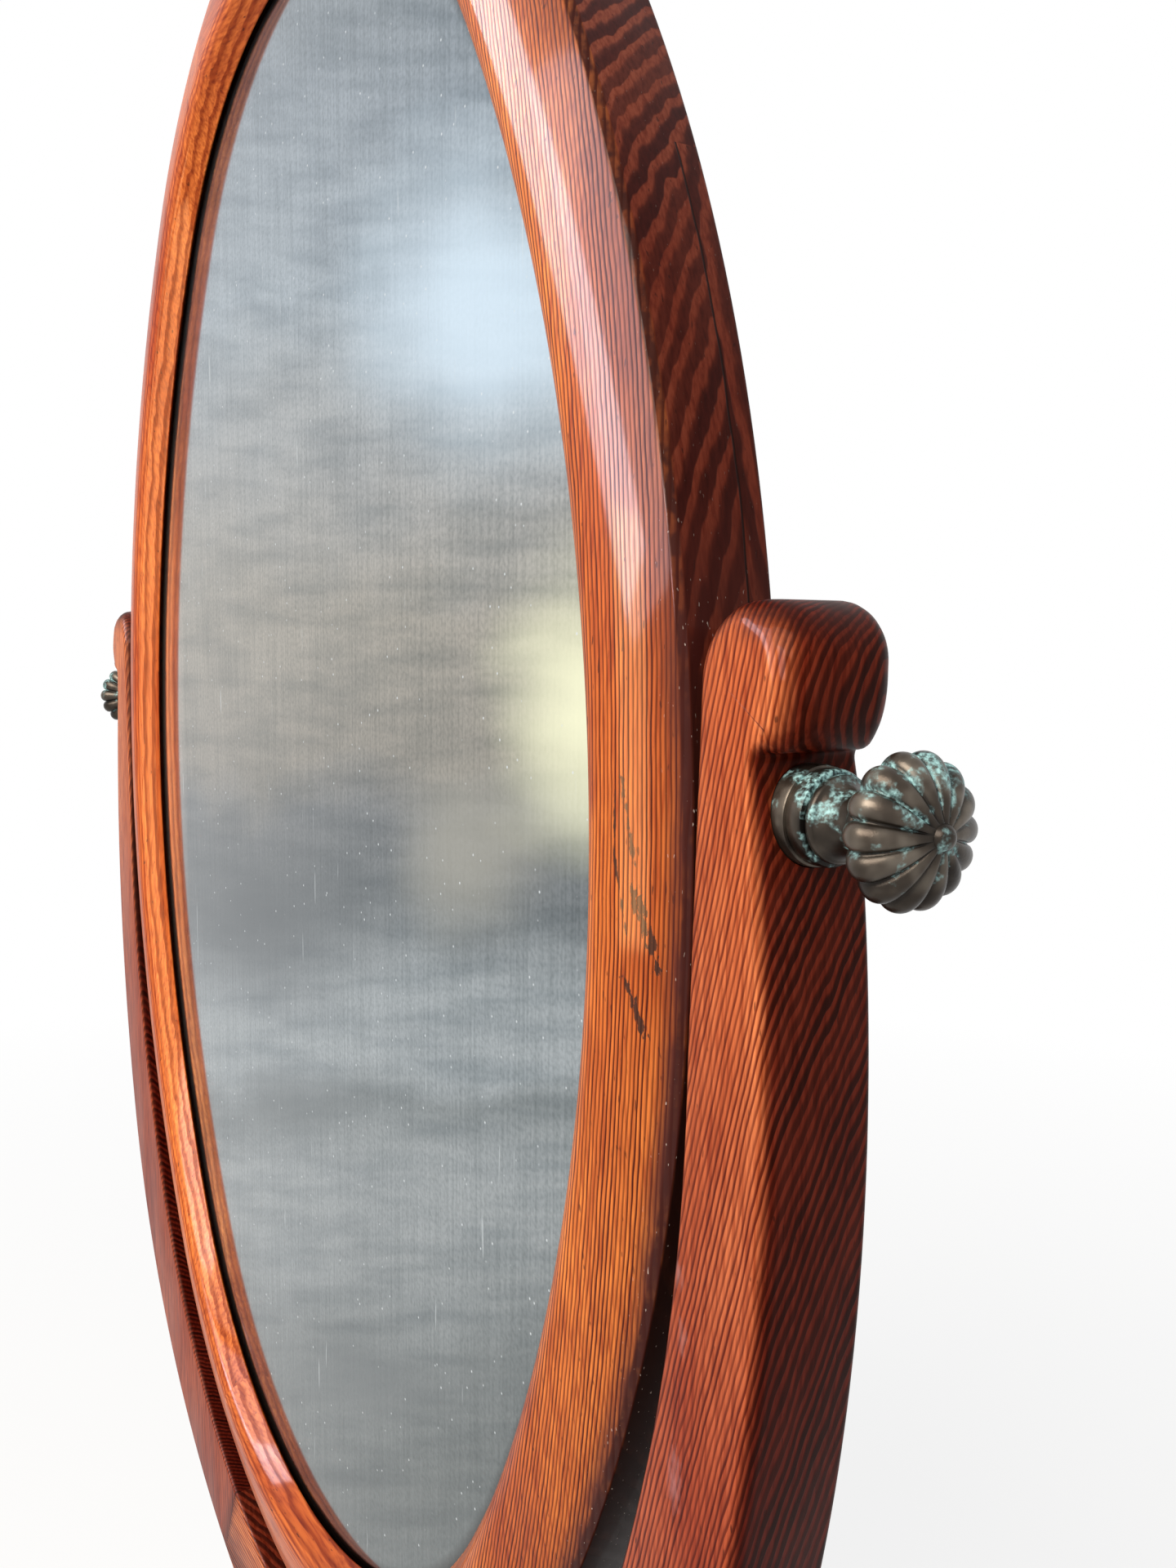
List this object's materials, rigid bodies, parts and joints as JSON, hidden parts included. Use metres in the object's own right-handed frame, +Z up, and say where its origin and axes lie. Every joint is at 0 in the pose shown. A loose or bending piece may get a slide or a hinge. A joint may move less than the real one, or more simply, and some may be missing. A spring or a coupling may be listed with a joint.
{
  "type": "shaving mirror",
  "caption": "Oval swing mirror in a moulded pine frame, held by lobed brass knobs between the arms of a U-shaped yoke on a turned pedestal.",
  "frame": {"origin": "middle of the footprint, on the surface that the feet stand on", "axes": "+Z up, +X along the pivot axis to the right-hand knob seen from the front, -Y the way the glass faces"},
  "size_m": [0.466, 0.27, 0.67],
  "materials": {
    "pine": "polished, orange to red-brown, dark growth lines",
    "back_board_wood": "unpolished softwood",
    "silvered_glass": "old silvering, cloudy",
    "aged_brass": "dark bronze patina with verdigris in the hollows",
    "brass": "dull",
    "steel": "dull",
    "leather": "dark, compressed"
  },
  "bodies": {
    "stand": {"base_disc": "pine", "front_right_foot": "pine", "front_left_foot": "pine", "rear_right_foot": "pine", "rear_left_foot": "pine", "column": "pine", "column_screw": "steel", "yoke_bridge": "pine", "yoke_right_arm": "pine", "yoke_left_arm": "pine", "yoke_tongues": "back_board_wood"},
    "mirror": {"frame_right_segment": "pine", "frame_left_segment": "pine", "frame_top_segment": "pine", "frame_bottom_segment": "pine", "frame_dowels": "back_board_wood", "mirror_plate": "silvered_glass", "glazing_blocks": "back_board_wood", "back_board": "back_board_wood", "back_board_screws": "steel", "right_pivot_plate": "brass", "left_pivot_plate": "brass", "pivot_plate_screws": "brass", "right_friction_washer": "leather", "left_friction_washer": "leather"},
    "right_collar": {"right_collar": "aged_brass"},
    "right_knob": {"right_knob": "aged_brass", "right_pivot_screw": "steel"},
    "left_collar": {"left_collar": "aged_brass"},
    "left_knob": {"left_knob": "aged_brass", "left_pivot_screw": "steel"}
  },
  "joints": [
    {"name": "mirror_tilt", "type": "hinge", "parent": "stand", "child": "mirror", "pos_m": [0, 0, 0.432], "axis": [1, 0, 0], "continuous": true},
    {"name": "right_collar_slide", "type": "slide", "parent": "mirror", "child": "right_collar", "axis": [1, 0, 0], "range_m": [0, 0.0015]},
    {"name": "right_knob_turn", "type": "hinge", "parent": "right_collar", "child": "right_knob", "pos_m": [0.22, 0, 0.432], "axis": [1, 0, 0], "range_deg": [0, 540]},
    {"name": "left_collar_slide", "type": "slide", "parent": "mirror", "child": "left_collar", "axis": [-1, 0, 0], "range_m": [0, 0.0015]},
    {"name": "left_knob_turn", "type": "hinge", "parent": "left_collar", "child": "left_knob", "pos_m": [-0.22, 0, 0.432], "axis": [-1, 0, 0], "range_deg": [0, 540]}
  ],
  "couplings": [
    {"joint": "right_knob_turn", "follows": "right_collar_slide", "rad_per_m": 6283.2},
    {"joint": "left_knob_turn", "follows": "left_collar_slide", "rad_per_m": 6283.2}
  ]
}
